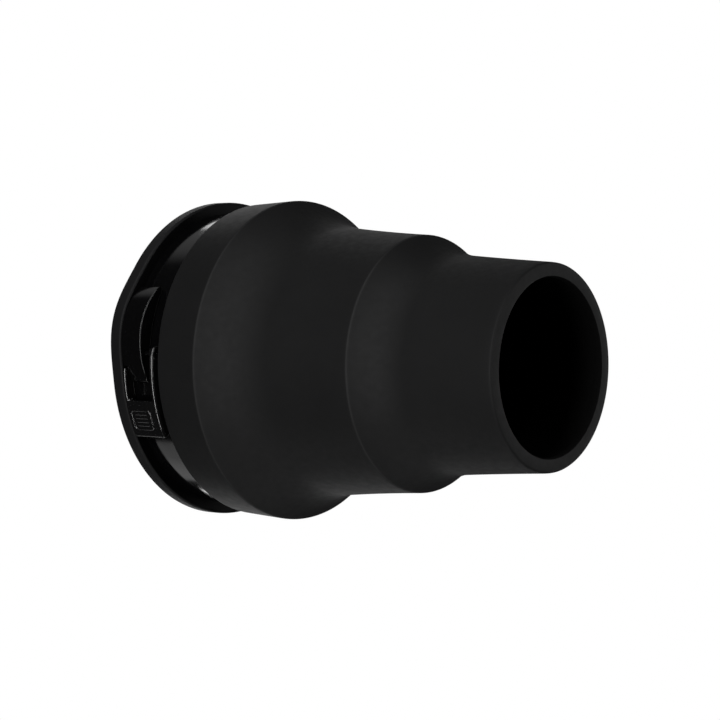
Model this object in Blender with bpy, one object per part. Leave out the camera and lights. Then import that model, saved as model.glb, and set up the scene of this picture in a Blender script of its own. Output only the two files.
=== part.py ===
"""Snoot: a stepped silicone hood on a round mount ring with a lever-worked cam lock.

The beam runs along +X and +Z is up. The origin is the centre of the flange's rear face.
The lock sits at the -Y side of the ring: the lever turns about a pin parallel to X,
and the cam on that pin pushes a jaw through the ring's wall onto the light's collar.
Angles round the ring start at -Y and grow towards +Z. All lengths are in metres.
"""

import itertools
import math

import bmesh
import bpy
from mathutils import Matrix, Vector

# Round surfaces
RING_STEPS = 48
STEP_ANGLE = 360.0 / RING_STEPS
ROD_STEPS = 24
TOUCH_GAP = 0.0003
RUNNING_GAP = 0.0001

# Mount ring and rear flange
BORE_RADIUS = 0.0500
RING_RADIUS = 0.0540
FLANGE_RADIUS = 0.0587
FLANGE_THICKNESS = 0.0052
FLANGE_EAR = 0.0019
FLANGE_EAR_ANGLE = 11.0
FLANGE_EAR_SPREAD = 22.0
RING_START = FLANGE_THICKNESS + TOUCH_GAP
RING_END = 0.0280
RING_LIP = 0.0010
RIB_START = 0.0246
RIB_END = 0.0264
RIB_HEIGHT = 0.0012

# Silicone body
WALL = 0.0036
FOLD_WALL = 0.0014
THINNING = 0.0050
SKIRT_START = 0.0215
SKIRT_START_RADIUS = 0.0576
RIDGE_1 = 0.03975
RIDGE_1_RADIUS = 0.0585
TUBE_2_START = 0.0600
RIDGE_2 = 0.09725
RIDGE_2_RADIUS = 0.04515
TUBE_3_START = 0.1150
MOUTH_END = 0.1493
MOUTH_RIM = 0.0050
RIM_ROUND = 0.0008
MOUTH_LIP = 0.0060
TUBE_2_TAPER = (0.05117, 0.1508, 0.80)
TUBE_3_TAPER = (0.03940, 0.0975, 0.35)
SHOULDER_1_LENGTH = 0.0240
SHOULDER_2_LENGTH = 0.0183
SHOULDER_RINGS = 7

# Latch housing on the outside of the ring
PIN_DISTANCE = 0.0567
PIN_RADIUS = 0.0009
HOUSING_END = 0.0150
HOUSING_CREST_OUT = 0.0603
HOUSING_CREST_UP = 0.0060
HOUSING_TOP_CURVE = 0.0224
HOUSING_LOW_CURVE = 0.0286
HOUSING_TOP_RADIUS = 0.0566
HOUSING_TOP_ANGLE = 25.1
HOUSING_LOW_RADIUS = 0.0566
HOUSING_LOW_ANGLE = -9.6
HOUSING_CROWN = 0.0007
HOUSING_NOTCH_UP = -0.0048
HOUSING_NOTCH_END = 0.0079
POCKET_START = 0.00835
POCKET_END = 0.01265
POCKET_LOW = -0.0070
POCKET_TOP = 0.0166

# Cam and jaw
CAM_RADIUS = 0.0022
CAM_OFFSET = 0.00082
CAM_LEAD = math.radians(-55.0)
CAM_FLAT_ANGLE = math.radians(-110.0)
CAM_FLAT_REACH = 0.00127
JAW_TIP_RADIUS = 0.0492
JAW_LOW = -0.0060
JAW_TOP = 0.0100
JAW_STEP_UP = 0.0040
JAW_EAR_END = 0.0162
JAW_EAR_OUT = 0.0534
JAW_EAR_THICKNESS = 0.0009

# Jaw return spring
SPRING_UP = 0.0145
SPRING_SEAT_RADIUS = 0.0017
SPRING_SEAT_OUT = 0.0492
SPRING_RADIUS = 0.00115
SPRING_WIRE = 0.00022
SPRING_TURNS = 4

# Lever
LEVER_RADIUS = 0.0593
LEVER_INNER_RADIUS = 0.0543
LEVER_START = 0.0056
LEVER_END = 0.0206
LEVER_REAR_WALL = 0.0018
LEVER_FRONT_WALL = 0.0016
LEVER_PLATE = 0.0019
LEVER_PLATE_ANGLE = -16.8
LEVER_LOW_ANGLE = -30.5
LEVER_REAR_TOP_ANGLE = -5.5
LEVER_EYE_RADIUS = 0.00235
LEVER_EYE_START = 0.0188
LEVER_EYE_END = 0.0208

# Screws and grip pads
SCREW_CIRCLE = 0.0524
SCREW_HEAD_RADIUS = 0.0017
SCREW_HEAD_LENGTH = 0.0016
SCREW_SHANK_RADIUS = 0.0008
SCREW_SUNK = 0.0003
SCREW_PHASE = 5.0
FLANGE_SCREW_REACH = 0.0115
HOUSING_SCREW_REACH = 0.0077
FLANGE_SCREW_ANGLES = (30.0, 90.0, 150.0, 210.0, 270.0, 330.0)
HOUSING_SCREW_PLACES = ((0.0565, 20.5), (0.0560, -2.5))
PAD_ANGLES = (120.0, 180.0, 240.0)
PAD_HALF_ANGLE = 1.5 * STEP_ANGLE
PAD_START = 0.0090
PAD_END = 0.0170
PAD_FACE_RADIUS = 0.0495
PAD_BACK_RADIUS = 0.0510

COLOURS = {
    "flange_plastic": ((0.030, 0.030, 0.032), 0.55, 0.0),
    "gloss_plastic": ((0.008, 0.008, 0.009), 0.12, 0.0),
    "silicone": ((0.018, 0.018, 0.019), 0.60, 0.0),
    "lever_plastic": ((0.012, 0.012, 0.013), 0.25, 0.0),
    "pin_steel": ((0.560, 0.560, 0.570), 0.30, 1.0),
    "cam_steel": ((0.420, 0.420, 0.430), 0.35, 1.0),
    "jaw_nylon": ((0.060, 0.060, 0.062), 0.50, 0.0),
    "spring_steel": ((0.500, 0.500, 0.510), 0.28, 1.0),
    "grip_rubber": ((0.020, 0.020, 0.020), 0.85, 0.0),
    "screw_steel": ((0.090, 0.090, 0.095), 0.40, 1.0),
}


def clear_scene():
    for old in list(bpy.data.objects):
        bpy.data.objects.remove(old, do_unlink=True)


def material(name):
    """Return the named material, made on its first use."""
    found = bpy.data.materials.get(name)
    if found:
        return found
    colour, roughness, metallic = COLOURS[name]
    made = bpy.data.materials.new(name)
    made.use_nodes = True
    shader = made.node_tree.nodes["Principled BSDF"]
    shader.inputs["Base Color"].default_value = (*colour, 1.0)
    shader.inputs["Roughness"].default_value = roughness
    shader.inputs["Metallic"].default_value = metallic
    made.diffuse_color = (*colour, 1.0)
    return made


def make_object(name, bm, finish=None):
    """Turn a closed bmesh into an object; one with no finish is a hidden tool."""
    bmesh.ops.recalc_face_normals(bm, faces=bm.faces)
    mesh = bpy.data.meshes.new(name)
    bm.to_mesh(mesh)
    bm.free()
    mesh.shade_smooth()
    mesh.set_sharp_from_angle(angle=math.radians(30.0))
    made = bpy.data.objects.new(name, mesh)
    bpy.context.scene.collection.objects.link(made)
    if finish:
        mesh.materials.append(material(finish))
    else:
        made.hide_render = True
        made.display_type = "WIRE"
    return made


def shape_with(target, tool, operation):
    """Add a Boolean that cuts the tool from the target or joins it on."""
    change = target.modifiers.new(tool.name, "BOOLEAN")
    change.operation = operation
    change.object = tool
    change.solver = "EXACT"


def hang_on(pivot_name, place, objects):
    """Parent objects to an empty on their joint's axis, keeping them where they are."""
    pivot = bpy.data.objects.new(pivot_name, None)
    pivot.location = place
    bpy.context.scene.collection.objects.link(pivot)
    for item in objects:
        item.data.transform(Matrix.Translation(-Vector(place)))
        item.parent = pivot


def ring_point(x, radius, angle):
    """A point at a distance from the beam axis, at an angle from -Y towards +Z."""
    turn = math.radians(angle)
    return (x, -radius * math.cos(turn), radius * math.sin(turn))


def side_point(x, out, up):
    """A point given by its distance out along -Y and its height."""
    return (x, -out, up)


def revolve(profile, bulge=None, steps=RING_STEPS):
    """Turn a closed (x, radius) outline about the beam axis; bulge(angle) swells its rim."""
    bm = bmesh.new()
    rim = max(radius for _, radius in profile)
    loops = []
    for index in range(steps):
        angle = index * 360.0 / steps
        swell = bulge(angle) if bulge else 0.0
        loop = []
        for x, radius in profile:
            grown = radius + (swell if radius == rim else 0.0)
            loop.append(bm.verts.new(ring_point(x, grown, angle)))
        loops.append(loop)
    for index in range(steps):
        join_loops(bm, loops[index - 1], loops[index])
    return bm


def join_loops(bm, first, second):
    """Bridge two closed loops of equal length with quads."""
    for index in range(len(first)):
        bm.faces.new((first[index - 1], first[index], second[index], second[index - 1]))


def revolve_part(profile, start, end):
    """Turn a closed outline through part of a turn, on the same facets as the whole rings."""
    angles = [start]
    angles += [k * STEP_ANGLE for k in range(-RING_STEPS, 2 * RING_STEPS)
               if start + 0.01 < k * STEP_ANGLE < end - 0.01]
    angles.append(end)
    bm = bmesh.new()
    loops = [[bm.verts.new(ring_point(x, radius, angle)) for x, radius in profile]
             for angle in angles]
    for first, second in zip(loops, loops[1:]):
        join_loops(bm, first, second)
    bm.faces.new(loops[0])
    bm.faces.new(loops[-1])
    return bm


def prism(outline, start, end):
    """Extrude a closed (out, up) outline along X."""
    bm = bmesh.new()
    low = [bm.verts.new(side_point(start, out, up)) for out, up in outline]
    high = [bm.verts.new(side_point(end, out, up)) for out, up in outline]
    join_loops(bm, low, high)
    bm.faces.new(low)
    bm.faces.new(high)
    return bm


def circle(out, up, radius, steps=ROD_STEPS):
    return arc(out, up, radius, 0.0, 360.0 - 360.0 / steps, steps - 1)


def arc(out, up, radius, start, end, steps):
    """Points on an arc in the (out, up) plane, from one angle to another in degrees."""
    points = []
    for index in range(steps + 1):
        turn = math.radians(start + (end - start) * index / steps)
        points.append((out + radius * math.cos(turn), up + radius * math.sin(turn)))
    return points


def flange_bulge(angle):
    """How far the flange's rim swells behind the latch housing."""
    away = (angle - FLANGE_EAR_ANGLE + 180.0) % 360.0 - 180.0
    if abs(away) >= FLANGE_EAR_SPREAD:
        return 0.0
    return FLANGE_EAR * math.cos(0.5 * math.pi * away / FLANGE_EAR_SPREAD) ** 2


def shoulder_radius(x, ridge, ridge_radius, taper, length):
    """A tube's easing taper, with the shoulder that swells from it back to the ridge."""
    start_radius, slope, easing = taper
    ahead = x - ridge
    left = max(1.0 - ahead / length, 0.0)
    tube = start_radius - slope * ahead + easing * ahead ** 2
    return tube + (ridge_radius - start_radius) * left ** 2


def radius_1(x):
    return shoulder_radius(x, RIDGE_1, RIDGE_1_RADIUS, TUBE_2_TAPER, SHOULDER_1_LENGTH)


def radius_2(x):
    return shoulder_radius(x, RIDGE_2, RIDGE_2_RADIUS, TUBE_3_TAPER, SHOULDER_2_LENGTH)


def fold_profile(radius_at, start, end, rings):
    """Closed outline of a thin fold between two stations."""
    stations = [start + (end - start) * k / rings for k in range(rings + 1)]
    outer = [(x, radius_at(x)) for x in stations]
    inner = [(x, radius_at(x) - FOLD_WALL) for x in reversed(stations)]
    return outer + inner


def turned_rod(outline, out, up, steps=16):
    """Solid of (x, radius) steps turned about a line parallel to X."""
    bm = bmesh.new()
    turn = math.radians(SCREW_PHASE)
    loops = []
    for x, radius in outline:
        loop = []
        for index in range(steps):
            angle = turn + 2.0 * math.pi * index / steps
            place = side_point(x, out + radius * math.cos(angle), up + radius * math.sin(angle))
            loop.append(bm.verts.new(place))
        loops.append(loop)
    for first, second in zip(loops, loops[1:]):
        join_loops(bm, first, second)
    bm.faces.new(loops[0])
    bm.faces.new(loops[-1])
    return bm


def screw(name, distance, angle, reach):
    """A screw along X with a flat round head sunk in the flange's rear face."""
    _, y, z = ring_point(0.0, distance, angle)
    head_end = SCREW_SUNK + SCREW_HEAD_LENGTH
    outline = ((SCREW_SUNK, SCREW_HEAD_RADIUS), (head_end, SCREW_HEAD_RADIUS),
               (head_end, SCREW_SHANK_RADIUS), (reach, SCREW_SHANK_RADIUS))
    return make_object(name, turned_rod(outline, -y, z), "screw_steel")


def screw_hole(name, targets, distance, angle, reach):
    """Cut a screw's stepped hole through the flange and into the part behind it."""
    _, y, z = ring_point(0.0, distance, angle)
    sink_end = SCREW_SUNK + SCREW_HEAD_LENGTH + TOUCH_GAP
    sink_radius = SCREW_HEAD_RADIUS + 0.5 * TOUCH_GAP
    hole_radius = SCREW_SHANK_RADIUS + TOUCH_GAP
    outline = ((-0.001, sink_radius), (sink_end, sink_radius),
               (sink_end, hole_radius), (reach + TOUCH_GAP, hole_radius))
    tool = make_object(name + "_hole", turned_rod(outline, -y, z))
    for target in targets:
        shape_with(target, tool, "DIFFERENCE")


def rear_flange():
    outline = ((0.0, BORE_RADIUS), (0.0, FLANGE_RADIUS),
               (FLANGE_THICKNESS, FLANGE_RADIUS), (FLANGE_THICKNESS, BORE_RADIUS))
    return make_object("rear_flange", revolve(outline, flange_bulge), "flange_plastic")


def mount_ring():
    rib = RING_RADIUS + RIB_HEIGHT
    outline = ((RING_START, BORE_RADIUS), (RING_START, RING_RADIUS),
               (RIB_START, RING_RADIUS), (RIB_START, rib), (RIB_END, rib),
               (RIB_END, RING_RADIUS), (RING_END, RING_RADIUS),
               (RING_END, BORE_RADIUS + RING_LIP), (RING_END - RING_LIP, BORE_RADIUS))
    ring = make_object("mount_ring", revolve(outline), "gloss_plastic")
    cut_jaw_window(ring)
    cut_spring_seat(ring)
    for index, angle in enumerate(PAD_ANGLES, 1):
        cut_pad_recess(ring, index, angle)
    return ring


def cut_jaw_window(ring):
    low = JAW_LOW - TOUCH_GAP
    top = JAW_TOP + TOUCH_GAP
    inside = BORE_RADIUS - 0.005
    outside = RING_RADIUS + 0.002
    outline = ((inside, low), (outside, low), (outside, top), (inside, top))
    tool = make_object("jaw_window", prism(outline, POCKET_START, POCKET_END))
    shape_with(ring, tool, "DIFFERENCE")


def cut_spring_seat(ring):
    middle = 0.5 * (POCKET_START + POCKET_END)
    bm = bmesh.new()
    loops = []
    for out in (SPRING_SEAT_OUT, RING_RADIUS + 0.001):
        loop = []
        for across, up in circle(middle, SPRING_UP, SPRING_SEAT_RADIUS, 16):
            loop.append(bm.verts.new(side_point(across, out, up)))
        loops.append(loop)
    join_loops(bm, loops[0], loops[1])
    bm.faces.new(loops[0])
    bm.faces.new(loops[1])
    shape_with(ring, make_object("spring_seat", bm), "DIFFERENCE")


def cut_pad_recess(ring, index, angle):
    side_gap = math.degrees(TOUCH_GAP / PAD_BACK_RADIUS)
    half = PAD_HALF_ANGLE + side_gap
    start = PAD_START - TOUCH_GAP
    end = PAD_END + TOUCH_GAP
    back = PAD_BACK_RADIUS + TOUCH_GAP
    inside = BORE_RADIUS - 0.003
    outline = ((start, inside), (start, back), (end, back), (end, inside))
    tool = make_object(f"pad_recess_{index}", revolve_part(outline, angle - half, angle + half))
    shape_with(ring, tool, "DIFFERENCE")


def grip_pad(index, angle):
    outline = ((PAD_START, PAD_FACE_RADIUS), (PAD_START, PAD_BACK_RADIUS),
               (PAD_END, PAD_BACK_RADIUS), (PAD_END, PAD_FACE_RADIUS))
    sector = revolve_part(outline, angle - PAD_HALF_ANGLE, angle + PAD_HALF_ANGLE)
    return make_object(f"grip_pad_{index}", sector, "grip_rubber")


def base_sleeve():
    """The widest silicone stage, stretched over the ring with its groove on the ring's rib."""
    inner = RING_RADIUS + TOUCH_GAP
    groove = inner + RIB_HEIGHT
    groove_start = RIB_START - TOUCH_GAP
    groove_end = RIB_END + TOUCH_GAP
    outline = ((SKIRT_START, SKIRT_START_RADIUS), (RIDGE_1, RIDGE_1_RADIUS),
               (RIDGE_1, RIDGE_1_RADIUS - FOLD_WALL), (RIDGE_1 - THINNING, inner),
               (groove_end, inner), (groove_end, groove), (groove_start, groove),
               (groove_start, inner), (SKIRT_START, inner))
    return make_object("base_sleeve", revolve(outline), "silicone")


def rear_shoulder():
    outline = fold_profile(radius_1, RIDGE_1 + TOUCH_GAP, TUBE_2_START - TOUCH_GAP, SHOULDER_RINGS)
    return make_object("rear_shoulder", revolve(outline), "silicone")


def middle_stage():
    """The middle tube, thick along its length and thinned at both ends where the folds begin."""
    thick_start = TUBE_2_START + THINNING
    thick_end = RIDGE_2 - THINNING
    middle = 0.5 * (thick_start + thick_end)
    outline = ((TUBE_2_START, radius_1(TUBE_2_START)), (thick_start, radius_1(thick_start)),
               (middle, radius_1(middle)),
               (RIDGE_2, RIDGE_2_RADIUS), (RIDGE_2, RIDGE_2_RADIUS - FOLD_WALL),
               (thick_end, radius_1(thick_end) - WALL), (thick_start, radius_1(thick_start) - WALL),
               (TUBE_2_START, radius_1(TUBE_2_START) - FOLD_WALL))
    return make_object("middle_stage", revolve(outline), "silicone")


def front_shoulder():
    outline = fold_profile(radius_2, RIDGE_2 + TOUCH_GAP, TUBE_3_START - TOUCH_GAP, SHOULDER_RINGS)
    return make_object("front_shoulder", revolve(outline), "silicone")


def mouth_stage():
    """The front tube, whose wall thickens to a flat rim with a rounded outer edge."""
    thick_start = TUBE_3_START + THINNING
    rim = radius_2(MOUTH_END)
    mouth = rim - MOUTH_RIM
    lip_start = MOUTH_END - MOUTH_LIP
    middle = 0.5 * (TUBE_3_START + MOUTH_END)
    outline = ((TUBE_3_START, radius_2(TUBE_3_START)), (middle, radius_2(middle)),
               (MOUTH_END - RIM_ROUND, rim),
               (MOUTH_END, rim - RIM_ROUND), (MOUTH_END, mouth), (lip_start, mouth),
               (thick_start, radius_2(thick_start) - WALL),
               (TUBE_3_START, radius_2(TUBE_3_START) - FOLD_WALL))
    return make_object("mouth_stage", revolve(outline), "silicone")


def housing_crown(shrink, low_up, top_up, steps):
    """The housing's crowned outside, or its ceiling when shrunk by the crown's thickness."""
    points = []
    for index in range(steps + 1):
        up = low_up + (top_up - low_up) * index / steps
        curve = HOUSING_TOP_CURVE if up > HOUSING_CREST_UP else HOUSING_LOW_CURVE
        reach = math.sqrt((curve - shrink) ** 2 - (up - HOUSING_CREST_UP) ** 2)
        points.append((HOUSING_CREST_OUT - curve + reach, up))
    return points


def latch_housing():
    """Humped cover that carries the lever's pin in two cheeks with the cam between them."""
    foot = RING_RADIUS + TOUCH_GAP
    low_up = HOUSING_LOW_RADIUS * math.sin(math.radians(HOUSING_LOW_ANGLE))
    top_up = HOUSING_TOP_RADIUS * math.sin(math.radians(HOUSING_TOP_ANGLE))
    crown = housing_crown(0.0, low_up, top_up, 18)
    base = arc(0.0, 0.0, foot, HOUSING_TOP_ANGLE, HOUSING_LOW_ANGLE, 10)
    housing = make_object("latch_housing", prism(crown + base, RING_START, HOUSING_END),
                          "gloss_plastic")
    ceiling = housing_crown(HOUSING_CROWN, POCKET_LOW, POCKET_TOP, 10)
    pocket = [(0.045, POCKET_LOW)] + ceiling + [(0.045, POCKET_TOP)]
    shape_with(housing, make_object("cam_pocket", prism(pocket, POCKET_START, POCKET_END)),
               "DIFFERENCE")
    notch = ((0.045, -0.015), (0.065, -0.015), (0.065, HOUSING_NOTCH_UP), (0.045, HOUSING_NOTCH_UP))
    shape_with(housing, make_object("lever_notch", prism(notch, 0.004, HOUSING_NOTCH_END)),
               "DIFFERENCE")
    pin_hole = circle(PIN_DISTANCE, 0.0, PIN_RADIUS + RUNNING_GAP)
    shape_with(housing, make_object("pin_bore", prism(pin_hole, 0.004, HOUSING_END + 0.001)),
               "DIFFERENCE")
    return housing


def lever_pin():
    outline = circle(PIN_DISTANCE, 0.0, PIN_RADIUS)
    return make_object("lever_pin", prism(outline, RING_START + TOUCH_GAP, LEVER_END - TOUCH_GAP),
                       "pin_steel")


def lock_cam():
    """Eccentric on the pin, with a flat: turning it as the lever opens lets the jaw out."""
    outline = []
    for index in range(40):
        turn = 2.0 * math.pi * index / 40
        inward = CAM_OFFSET * math.cos(CAM_LEAD) + CAM_RADIUS * math.cos(turn)
        up = CAM_OFFSET * math.sin(CAM_LEAD) + CAM_RADIUS * math.sin(turn)
        reach = inward * math.cos(CAM_FLAT_ANGLE) + up * math.sin(CAM_FLAT_ANGLE)
        if reach <= CAM_FLAT_REACH:
            outline.append((PIN_DISTANCE - inward, up))
    cam = make_object("lock_cam", prism(outline, POCKET_START + TOUCH_GAP, POCKET_END - TOUCH_GAP),
                      "cam_steel")
    bore = circle(PIN_DISTANCE, 0.0, PIN_RADIUS + RUNNING_GAP)
    shape_with(cam, make_object("cam_bore", prism(bore, POCKET_START, POCKET_END)), "DIFFERENCE")
    return cam


def cam_reach(turn):
    """How far the cam reaches inward from the pin once the lever has turned."""
    return CAM_RADIUS + CAM_OFFSET * math.cos(turn - CAM_LEAD)


def locking_jaw():
    """Block in the ring's window: curved tip inside, cam track outside, ear over the spring."""
    track = PIN_DISTANCE - cam_reach(0.0) - TOUCH_GAP
    low_angle = math.degrees(math.asin(JAW_LOW / JAW_TIP_RADIUS))
    top_angle = math.degrees(math.asin(JAW_TOP / JAW_TIP_RADIUS))
    ear_top = JAW_EAR_OUT + JAW_EAR_THICKNESS
    outline = arc(0.0, 0.0, JAW_TIP_RADIUS, low_angle, top_angle, 6)
    outline += [(JAW_EAR_OUT, JAW_TOP), (JAW_EAR_OUT, JAW_EAR_END), (ear_top, JAW_EAR_END),
                (ear_top, JAW_STEP_UP), (track, JAW_STEP_UP), (track, JAW_LOW)]
    return make_object("locking_jaw", prism(outline, POCKET_START + TOUCH_GAP,
                                            POCKET_END - TOUCH_GAP), "jaw_nylon")


def jaw_spring():
    """Compression spring between the ring and the jaw's ear, its coils along Y."""
    across = 0.5 * (POCKET_START + POCKET_END)
    low = SPRING_SEAT_OUT + TOUCH_GAP + SPRING_WIRE
    rise = JAW_EAR_OUT - TOUCH_GAP - SPRING_WIRE - low
    steps = 14 * SPRING_TURNS
    bm = bmesh.new()
    loops = []
    for index in range(steps + 1):
        turn = 2.0 * math.pi * SPRING_TURNS * index / steps
        out = low + rise * index / steps
        loop = []
        for side in range(6):
            tilt = 2.0 * math.pi * side / 6
            radius = SPRING_RADIUS + SPRING_WIRE * math.cos(tilt)
            x = across + radius * math.cos(turn)
            up = SPRING_UP + radius * math.sin(turn)
            loop.append(bm.verts.new(side_point(x, out + SPRING_WIRE * math.sin(tilt), up)))
        loops.append(loop)
    for first, second in zip(loops, loops[1:]):
        join_loops(bm, first, second)
    bm.faces.new(loops[0])
    bm.faces.new(loops[-1])
    return make_object("jaw_spring", bm, "spring_steel")


def cell_solid(stations, radii, angles, filled):
    """Solid made of curved cells; filled(i, j, k) says whether a cell holds material."""
    counts = (len(stations) - 1, len(radii) - 1, len(angles) - 1)
    bm = bmesh.new()
    corners = {}

    def corner(key):
        if key not in corners:
            i, j, k = key
            corners[key] = bm.verts.new(ring_point(stations[i], radii[j], angles[k]))
        return corners[key]

    def solid(cell):
        inside = all(0 <= cell[n] < counts[n] for n in range(3))
        return inside and filled(*cell)

    for cell in itertools.product(*(range(count) for count in counts)):
        if not solid(cell):
            continue
        for axis, side in itertools.product(range(3), (0, 1)):
            beside = list(cell)
            beside[axis] += 2 * side - 1
            if solid(beside):
                continue
            first, second = [n for n in range(3) if n != axis]
            face = []
            for a, b in ((0, 0), (1, 0), (1, 1), (0, 1)):
                key = list(cell)
                key[axis] += side
                key[first] += a
                key[second] += b
                face.append(corner(tuple(key)))
            bm.faces.new(face)
    return bm


def even_steps(start, end, steps):
    return [start + (end - start) * k / steps for k in range(steps)]


def latch_lever():
    """Curved tray: two side walls, a plate across its low end and an eye round the pin."""
    stations = (LEVER_START, LEVER_START + LEVER_REAR_WALL, LEVER_END - LEVER_FRONT_WALL, LEVER_END)
    radii = (LEVER_INNER_RADIUS, LEVER_RADIUS - LEVER_PLATE, LEVER_RADIUS)
    angles = even_steps(LEVER_LOW_ANGLE, LEVER_PLATE_ANGLE, 5)
    angles += even_steps(LEVER_PLATE_ANGLE, LEVER_REAR_TOP_ANGLE, 3)
    angles += even_steps(LEVER_REAR_TOP_ANGLE, 0.0, 3) + [0.0]

    def filled(across, depth, along):
        middle = 0.5 * (angles[along] + angles[along + 1])
        if across == 2:
            return True
        if across == 0:
            return middle < LEVER_REAR_TOP_ANGLE
        return depth == 1 and middle < LEVER_PLATE_ANGLE

    lever = make_object("latch_lever", cell_solid(stations, radii, angles, filled), "lever_plastic")
    boss = circle(PIN_DISTANCE, 0.0, LEVER_EYE_RADIUS)
    eye = make_object("lever_eye", prism(boss, LEVER_EYE_START, LEVER_EYE_END))
    shape_with(lever, eye, "UNION")
    bore = circle(PIN_DISTANCE, 0.0, PIN_RADIUS + RUNNING_GAP)
    shape_with(lever, make_object("eye_bore", prism(bore, HOUSING_END, LEVER_EYE_END + 0.001)),
               "DIFFERENCE")
    return lever


def build():
    clear_scene()
    flange = rear_flange()
    ring = mount_ring()
    housing = latch_housing()
    for index, angle in enumerate(FLANGE_SCREW_ANGLES, 1):
        name = f"flange_screw_{index}"
        screw(name, SCREW_CIRCLE, angle, FLANGE_SCREW_REACH)
        screw_hole(name, (flange, ring), SCREW_CIRCLE, angle, FLANGE_SCREW_REACH)
    for index, (distance, angle) in enumerate(HOUSING_SCREW_PLACES, 1):
        name = f"housing_screw_{index}"
        screw(name, distance, angle, HOUSING_SCREW_REACH)
        screw_hole(name, (flange, housing), distance, angle, HOUSING_SCREW_REACH)
    for index, angle in enumerate(PAD_ANGLES, 1):
        grip_pad(index, angle)
    base_sleeve()
    rear_shoulder()
    jaw_spring()
    middle = middle_stage()
    shoulder = front_shoulder()
    mouth = mouth_stage()
    jaw = locking_jaw()
    hang_on("lever_axis", (0.5 * (LEVER_START + LEVER_END), -PIN_DISTANCE, 0.0),
            [latch_lever(), lever_pin(), lock_cam()])
    hang_on("jaw_axis", (0.5 * (POCKET_START + POCKET_END), -RING_RADIUS, 0.0), [jaw])
    hang_on("middle_axis", (RIDGE_1, 0.0, 0.0), [middle, shoulder])
    hang_on("front_axis", (RIDGE_2, 0.0, 0.0), [mouth])


build()
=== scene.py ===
"""Looks of the snoot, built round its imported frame: silicone hood, ring, flange and lock."""

import itertools
import math

import bmesh
import bpy
from mathutils import Matrix, Vector


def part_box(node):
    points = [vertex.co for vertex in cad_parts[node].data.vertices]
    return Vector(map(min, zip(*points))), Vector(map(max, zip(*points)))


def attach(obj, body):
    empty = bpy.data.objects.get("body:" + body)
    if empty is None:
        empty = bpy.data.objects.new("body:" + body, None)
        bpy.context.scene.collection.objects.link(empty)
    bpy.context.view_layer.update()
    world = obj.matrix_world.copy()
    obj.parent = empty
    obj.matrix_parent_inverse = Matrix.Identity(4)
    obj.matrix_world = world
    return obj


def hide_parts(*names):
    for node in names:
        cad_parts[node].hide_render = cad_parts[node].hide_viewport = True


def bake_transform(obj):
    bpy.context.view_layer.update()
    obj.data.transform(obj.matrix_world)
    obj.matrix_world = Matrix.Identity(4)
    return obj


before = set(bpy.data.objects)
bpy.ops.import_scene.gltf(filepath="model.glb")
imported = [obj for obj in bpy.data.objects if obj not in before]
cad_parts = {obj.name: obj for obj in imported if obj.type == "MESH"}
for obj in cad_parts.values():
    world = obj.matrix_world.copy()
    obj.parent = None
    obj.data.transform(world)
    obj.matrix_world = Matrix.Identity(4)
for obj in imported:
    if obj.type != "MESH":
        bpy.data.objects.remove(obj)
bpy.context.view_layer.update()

# ---------------------------------------------------------------------------------------
# Places read from the frame
# ---------------------------------------------------------------------------------------
_, FLANGE_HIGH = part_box("rear_flange")
_, RING_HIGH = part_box("mount_ring")
SLEEVE_LOW, SLEEVE_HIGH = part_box("base_sleeve")
MIDDLE_LOW, MIDDLE_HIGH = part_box("middle_stage")
MOUTH_LOW, MOUTH_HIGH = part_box("mouth_stage")
HOUSING_LOW, HOUSING_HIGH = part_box("latch_housing")
LEVER_LOW, LEVER_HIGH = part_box("latch_lever")
JAW_LOW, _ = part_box("locking_jaw")
SPRING_LOW, SPRING_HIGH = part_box("jaw_spring")

# Hood: stations along the beam and radii, as the CAD stages have them
RIDGE_1 = SLEEVE_HIGH.x
RIDGE_1_RADIUS = SLEEVE_HIGH.z
SKIRT_START = SLEEVE_LOW.x
SKIRT_START_RADIUS = RIDGE_1_RADIUS - 0.0009
TUBE_2_START = MIDDLE_LOW.x
RIDGE_2 = MIDDLE_HIGH.x
RIDGE_2_RADIUS = 0.04515
TUBE_3_START = MOUTH_LOW.x
MOUTH_END = MOUTH_HIGH.x
# Each tube's radius carried back to its ridge, its slope, and how much the slope eases
TUBE_2_TAPER = (0.05117, 0.1508, 0.80)
TUBE_3_TAPER = (0.03940, 0.0975, 0.35)
SHOULDER_1_LENGTH = 0.0240
SHOULDER_2_LENGTH = 0.0183
# Wall of the tubes, wall where the skin folds, and the length over which one becomes the other
WALL = 0.0036
FOLD_WALL = 0.0014
THINNING = 0.0050
SKIRT_EDGE = 0.0005
CREST_ROUND = 0.0007
MOUTH_RIM = 0.0050
MOUTH_LIP_SHOWN = 0.0022
MOUTH_LIP_STEP = 0.0012
MOUTH_OUTER_ROUND = 0.0007
MOUTH_INNER_ROUND = 0.0006
# The two skins meet this far past the second ridge
SEAM_PAST_RIDGE = 0.0013
# Distances between stations: along plain tubes, folds, crests, the seam and the inner walls
TUBE_STEP = 0.0020
FOLD_STEP = 0.0008
CREST_STEP = 0.0002
SEAM_STEP = 0.0003
INNER_STEP = 0.0040
# Painted highlight along a ridge, a paler line in place of the light its crest catches: full
# strength out to its core, gone at its edge
RIDGE_HIGHLIGHT_CORE = 0.0001
RIDGE_HIGHLIGHT_EDGE = 0.0004

# Ring and flange
BORE_RADIUS = 0.0500
RING_RADIUS = 0.0546
TOUCH_GAP = 0.0003

# Shapes in general
ROUND_STEPS = 192
HOLE_STEPS = 24
SMOOTH_ANGLE = 35.0
CUT_SMOOTH_ANGLE = 40.0
LONGEST_FILLET = 0.49


def ring_point(x, radius, angle):
    """A point at a distance from the beam axis, at an angle in degrees from -Y towards +Z."""
    turn = math.radians(angle)
    return (x, -radius * math.cos(turn), radius * math.sin(turn))


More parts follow.
